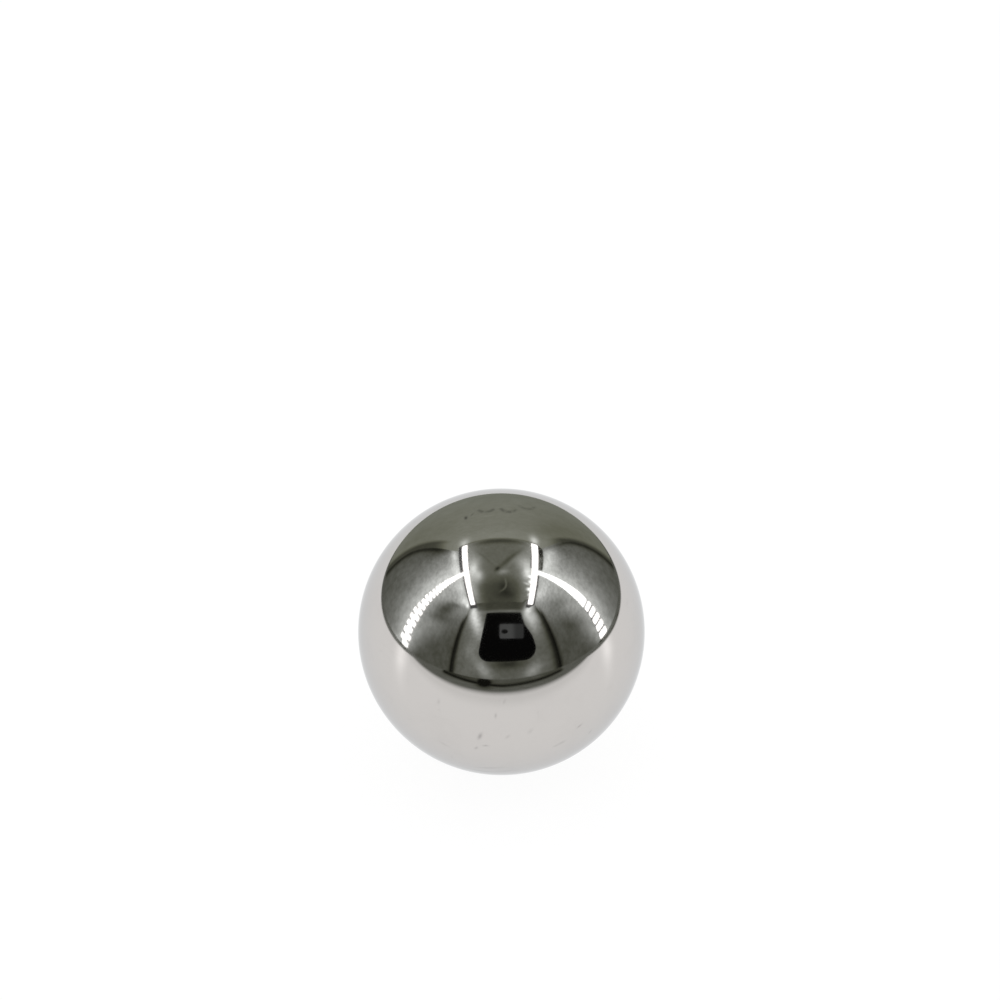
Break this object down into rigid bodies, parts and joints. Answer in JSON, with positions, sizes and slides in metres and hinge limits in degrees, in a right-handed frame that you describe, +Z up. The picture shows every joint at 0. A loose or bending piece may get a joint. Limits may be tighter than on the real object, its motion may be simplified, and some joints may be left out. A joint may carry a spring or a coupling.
{
  "type": "steel ball",
  "caption": "Solid polished steel ball, a true sphere that rolls, bears a load or weighs something down, seated in a cup or race.",
  "frame": {"origin": "centre of the ball", "axes": "+Z up, away from the cup or race that carries the ball. A ball is the same about every axis, so +X and +Y are free"},
  "size_m": [0.0254, 0.0254, 0.0254],
  "materials": {
    "polished_steel": "polished"
  },
  "bodies": {
    "root": {"ball": "polished_steel"}
  },
  "joints": []
}
